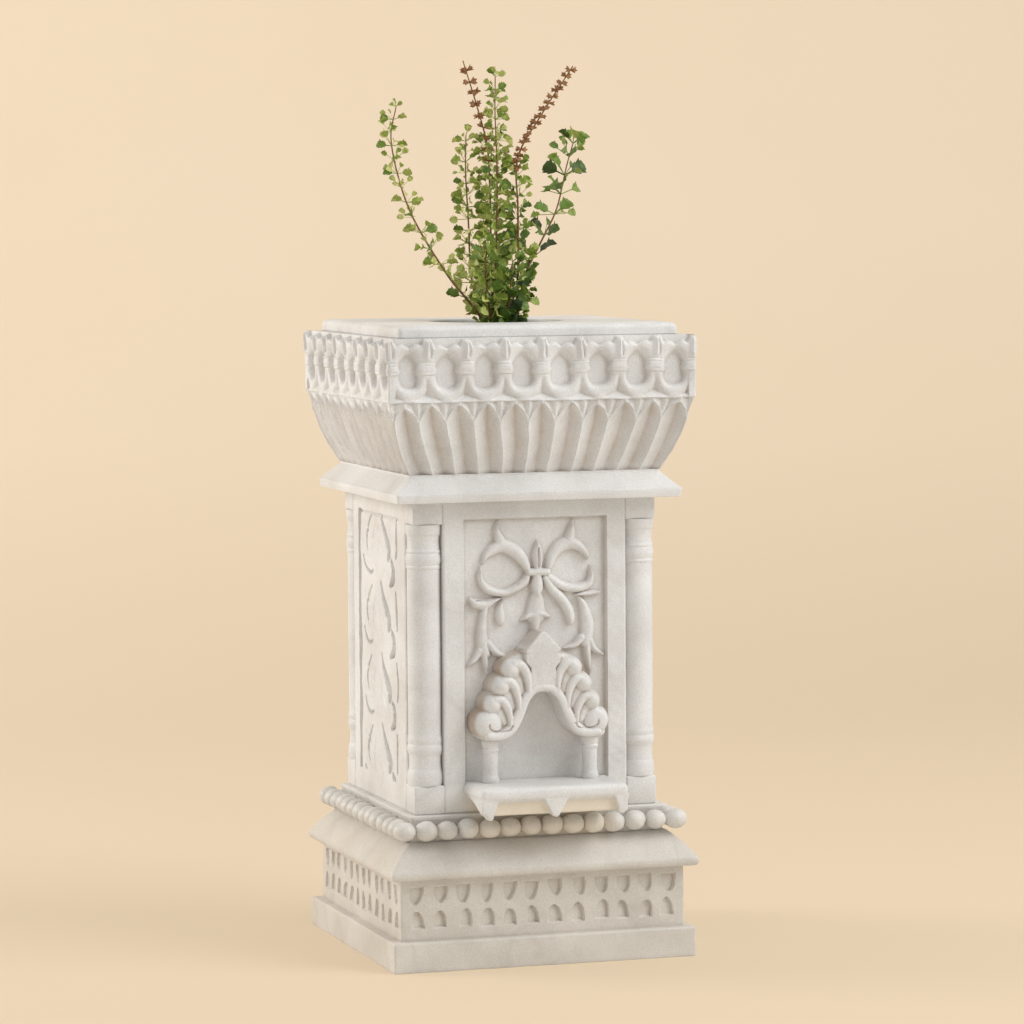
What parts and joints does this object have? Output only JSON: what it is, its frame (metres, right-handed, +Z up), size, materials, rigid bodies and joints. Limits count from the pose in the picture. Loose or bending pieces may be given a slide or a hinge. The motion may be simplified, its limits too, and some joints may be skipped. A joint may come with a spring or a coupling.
{
  "type": "tulsi vrindavan planter",
  "caption": "Square carved marble pedestal planter with a lamp niche, beaded base, corner columns, fluted bowl, looped frieze and a lift-out potted holy basil in its round mouth.",
  "frame": {"origin": "centre of the base slab's underside, on the surface the planter stands on", "axes": "+Z up, -Y towards the face with the lamp niche, +X to the right when facing it"},
  "size_m": [0.31, 0.337, 0.869],
  "materials": {
    "marble": "matte",
    "dowel_steel": "satin",
    "pot_plastic": "matte",
    "potting_soil": "matte",
    "basil_stem": "matte",
    "basil_leaf": "matte",
    "basil_flower": "matte"
  },
  "bodies": {
    "stonework": {"base_slab": "marble", "base_dado": "marble", "base_cornice": "marble", "bead_course": "marble", "corner_post_front_left": "marble", "corner_post_front_right": "marble", "corner_post_back_right": "marble", "corner_post_back_left": "marble", "panel_front": "marble", "panel_right": "marble", "panel_back": "marble", "panel_left": "marble", "niche_shelf": "marble", "niche_balusters": "marble", "niche_arch": "marble", "neck_cornice": "marble", "petal_bowl": "marble", "loop_frieze": "marble", "top_coping": "marble", "course_dowels": "dowel_steel", "niche_pins": "dowel_steel"},
    "potted_plant": {"grow_pot": "pot_plastic", "soil": "potting_soil", "plant_stems": "basil_stem", "plant_leaves": "basil_leaf", "flower_spikes": "basil_flower"}
  },
  "joints": [
    {"name": "pot_lift", "type": "slide", "parent": "stonework", "child": "potted_plant", "axis": [0, 0, 1], "range_m": [0, 0.12]}
  ]
}
